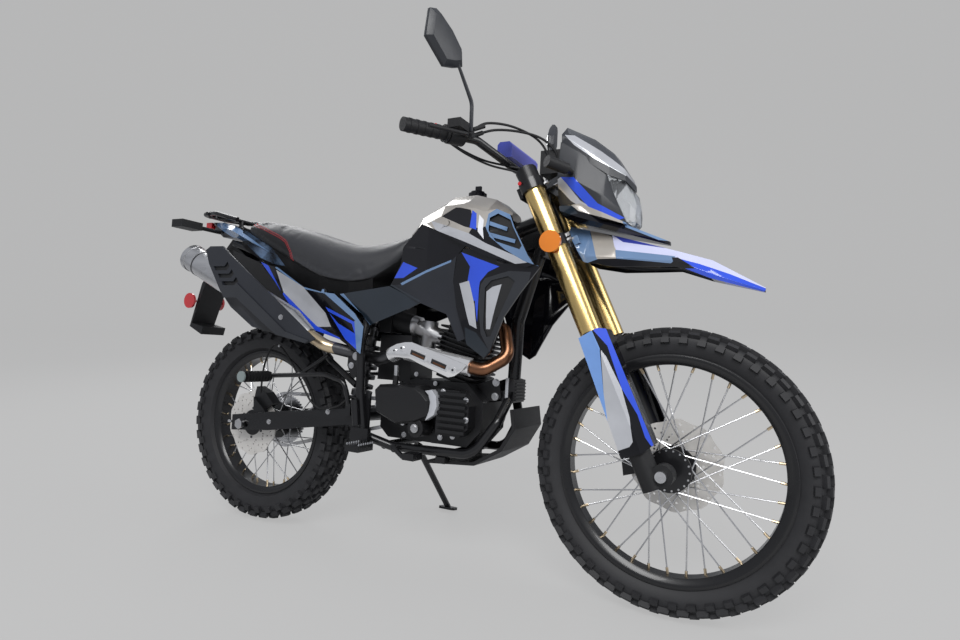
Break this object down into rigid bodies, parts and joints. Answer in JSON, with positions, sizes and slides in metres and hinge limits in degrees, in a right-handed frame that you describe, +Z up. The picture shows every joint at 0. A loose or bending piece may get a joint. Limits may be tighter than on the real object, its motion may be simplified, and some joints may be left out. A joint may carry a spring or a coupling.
{
  "type": "dual sport motorcycle",
  "caption": "Dual sport motorcycle on its side stand, with high fender, upside-down fork, spoked wheels, knobbly tyres and an open single-cylinder engine.",
  "frame": {"origin": "on the ground, below the middle of the bounding box", "axes": "+X towards the front wheel, +Y to the rider's left, +Z up; the bike leans 7.24 degrees to its left on the side stand"},
  "size_m": [2.1135, 0.8742, 1.4764],
  "materials": {
    "aluminium": "cast",
    "blue": "gloss",
    "bodywork": "gloss",
    "chrome": "polished",
    "clear": "clear",
    "copper": "heat-tinted",
    "engine_black": "satin",
    "frame_black": "semi-gloss",
    "gold": "anodised",
    "lamp_amber": "gloss",
    "lamp_red": "gloss",
    "plastic_black": "satin",
    "plastic_grey": "satin",
    "rubber": "matte",
    "steel": "satin",
    "tank_silver": "gloss",
    "tyre": "matte",
    "vinyl": "satin"
  },
  "bodies": {
    "chassis": {"carburettor": "aluminium", "clutch_cover": "engine_black", "drive_chain": "steel", "engine_case": "engine_black", "engine_cylinder": "engine_black", "exhaust_pipe": "copper", "foot_controls": "frame_black", "footpegs": "frame_black", "frame_backbone": "frame_black", "frame_cradle": "frame_black", "front_sprocket": "steel", "fuel_cap": "plastic_black", "fuel_tank": "tank_silver", "heat_shield": "chrome", "rear_axle": "steel", "rear_caliper": "engine_black", "rear_fender": "plastic_black", "rear_lights": "lamp_red", "rear_rack": "frame_black", "rear_shock": "frame_black", "seat": "vinyl", "side_panels": "bodywork", "silencer": "steel", "silencer_shield": "plastic_grey", "skid_plate": "plastic_black", "subframe": "frame_black", "swingarm": "frame_black", "tail_cover": "bodywork", "tank_shrouds": "bodywork"},
    "steering": {"fork_clamps": "frame_black", "fork_tubes": "gold", "fork_sliders": "frame_black", "fork_guards": "bodywork", "front_fender": "bodywork", "headlight_shell": "plastic_grey", "headlight_lens": "clear", "windscreen": "plastic_grey", "dash": "plastic_black", "handlebar": "frame_black", "bar_pad": "blue", "hand_controls": "rubber", "mirrors": "plastic_grey", "front_lights": "lamp_amber", "front_caliper": "engine_black", "front_axle": "steel"},
    "front_wheel": {"front_tyre": "tyre", "front_wheel": "frame_black", "front_disc": "steel"},
    "rear_wheel": {"rear_tyre": "tyre", "rear_wheel": "frame_black", "rear_disc": "steel", "rear_sprocket": "steel"},
    "side_stand": {"side_stand": "frame_black"}
  },
  "joints": [
    {"name": "steer", "type": "hinge", "parent": "chassis", "child": "steering", "pos_m": [0.33601, -0.04048, 1.0193], "axis": [-0.4258, 0.114, 0.8976], "range_deg": [-38, 38]},
    {"name": "front_wheel_spin", "type": "hinge", "parent": "steering", "child": "front_wheel", "pos_m": [0.70825, -0.12537, 0.35105], "axis": [0, 0.992, -0.126], "continuous": true},
    {"name": "rear_wheel_spin", "type": "hinge", "parent": "chassis", "child": "rear_wheel", "pos_m": [-0.64275, -0.12814, 0.32922], "axis": [0, 0.992, -0.126], "continuous": true},
    {"name": "stand_fold", "type": "hinge", "parent": "chassis", "child": "side_stand", "pos_m": [-0.11475, -0.00286, 0.26795], "axis": [0.1581, 0.8123, 0.5613], "range_deg": [0, 90.03]}
  ]
}
